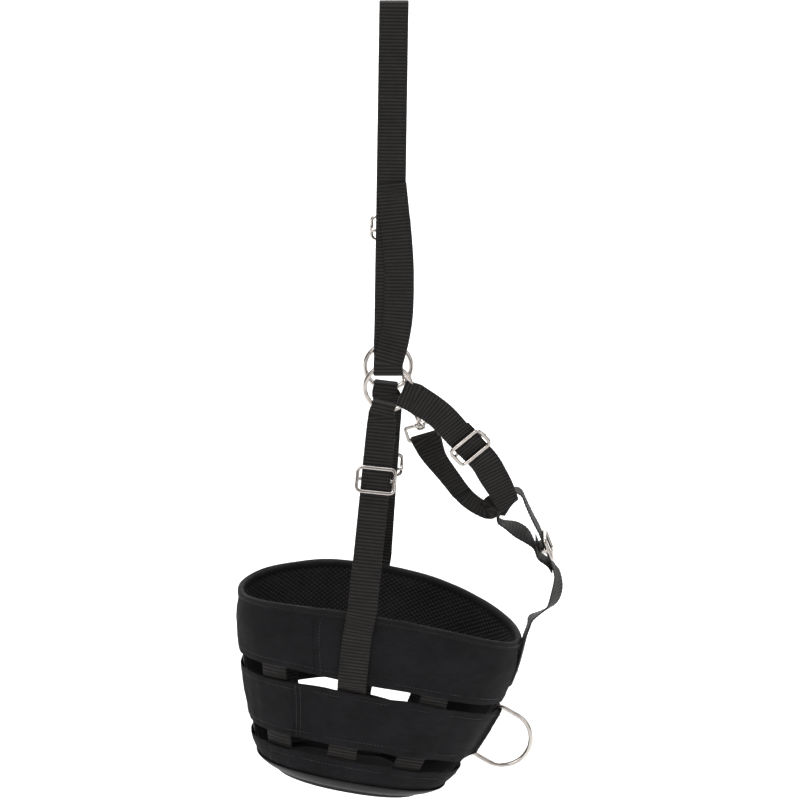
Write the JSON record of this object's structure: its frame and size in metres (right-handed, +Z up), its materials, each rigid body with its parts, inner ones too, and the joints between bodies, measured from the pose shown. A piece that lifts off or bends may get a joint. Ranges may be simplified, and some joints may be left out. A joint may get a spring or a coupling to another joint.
{
  "type": "basket muzzle",
  "caption": "Black nylon pony basket muzzle hanging by its crown strap, with cheek, throat and chin straps, rings, slides, a snap hook and a chin dee.",
  "frame": {"origin": "underside of the crown strap's top fold, where the muzzle hangs on a peg", "axes": "+Z up along the hanging straps, +X towards the chin end of the basket, -Y towards the near side"},
  "size_m": [0.28, 0.1578, 0.7091],
  "materials": {
    "webbing": "matte",
    "basket_fabric": "matte",
    "lining": "matte",
    "thread": "satin",
    "base_rubber": "satin",
    "nickel": "polished",
    "spring_steel": "satin"
  },
  "bodies": {
    "crown": {"crown_strap": "webbing", "crown_bar_tack": "thread"},
    "crown_slide_body": {"crown_slide": "nickel", "crown_slide_loop": "webbing"},
    "near_ring_body": {"near_ring": "nickel"},
    "far_ring_body": {"far_ring": "nickel"},
    "basket": {"near_cheek_strap": "webbing", "far_cheek_strap": "webbing", "throat_strap": "webbing", "chin_strap": "webbing", "snap_eye": "nickel", "rim_band": "basket_fabric", "rim_lining": "lining", "rim_binding": "lining", "middle_band": "basket_fabric", "lower_band": "basket_fabric", "base_pad": "base_rubber", "upright_chin": "webbing", "upright_near_chin": "webbing", "upright_near_nose": "webbing", "upright_nose": "webbing", "upright_far_nose": "webbing", "upright_far_chin": "webbing", "basket_bar_tacks": "thread"},
    "near_cheek_slide_body": {"near_cheek_slide": "nickel", "near_cheek_slide_loop": "webbing"},
    "far_cheek_slide_body": {"far_cheek_slide": "nickel", "far_cheek_slide_loop": "webbing"},
    "throat_slide_body": {"throat_slide": "nickel", "throat_slide_loop": "webbing"},
    "chin_slide_body": {"chin_slide": "nickel", "chin_slide_loop": "webbing"},
    "snap": {"snap_body": "nickel", "snap_spring": "spring_steel"},
    "snap_bolt_body": {"snap_bolt": "nickel", "snap_thumb_stud": "nickel"},
    "chin_dee_body": {"chin_dee": "nickel"}
  },
  "joints": [
    {"name": "basket_swing", "type": "hinge", "parent": "crown", "child": "basket", "pos_m": [-0.005, 0, -0.335], "axis": [0, 1, 0], "range_deg": [-12, 25]},
    {"name": "near_ring_spin", "type": "hinge", "parent": "crown", "child": "near_ring_body", "pos_m": [-0.005, -0.03, -0.335], "axis": [0, 1, 0], "continuous": true},
    {"name": "far_ring_spin", "type": "hinge", "parent": "crown", "child": "far_ring_body", "pos_m": [-0.005, 0.03, -0.335], "axis": [0, 1, 0], "continuous": true},
    {"name": "crown_slide_adjust", "type": "slide", "parent": "crown", "child": "crown_slide_body", "axis": [-0.0149, 0.0774, -0.9969], "range_m": [-0.01, 0.01]},
    {"name": "near_cheek_slide_adjust", "type": "slide", "parent": "basket", "child": "near_cheek_slide_body", "axis": [0.1019, 0.264, 0.9591], "range_m": [-0.01, 0.01]},
    {"name": "far_cheek_slide_adjust", "type": "slide", "parent": "basket", "child": "far_cheek_slide_body", "axis": [0.0561, -0.2657, 0.9624], "range_m": [-0.01, 0.01]},
    {"name": "throat_slide_adjust", "type": "slide", "parent": "basket", "child": "throat_slide_body", "axis": [-0.6442, -0.1695, 0.7459], "range_m": [-0.006, 0.006]},
    {"name": "chin_slide_adjust", "type": "slide", "parent": "basket", "child": "chin_slide_body", "axis": [-0.342, 0, 0.9397], "range_m": [-0.005, 0.005]},
    {"name": "snap_swivel", "type": "hinge", "parent": "basket", "child": "snap", "pos_m": [0.01053, 0.03, -0.3491], "axis": [-0.2924, 0, 0.9563], "range_deg": [-12, 12]},
    {"name": "snap_bolt_slide", "type": "slide", "parent": "snap", "child": "snap_bolt_body", "axis": [0.2924, 0, -0.9563], "range_m": [0, 0.006], "stiffness_N_per_m": 300, "springref_m": -0.004, "deforming": ["snap_spring"]},
    {"name": "chin_dee_swing", "type": "hinge", "parent": "basket", "child": "chin_dee_body", "pos_m": [0.07811, 0, -0.65164], "axis": [0.5135, 0, 0.8581], "range_deg": [-60, 60]}
  ]
}
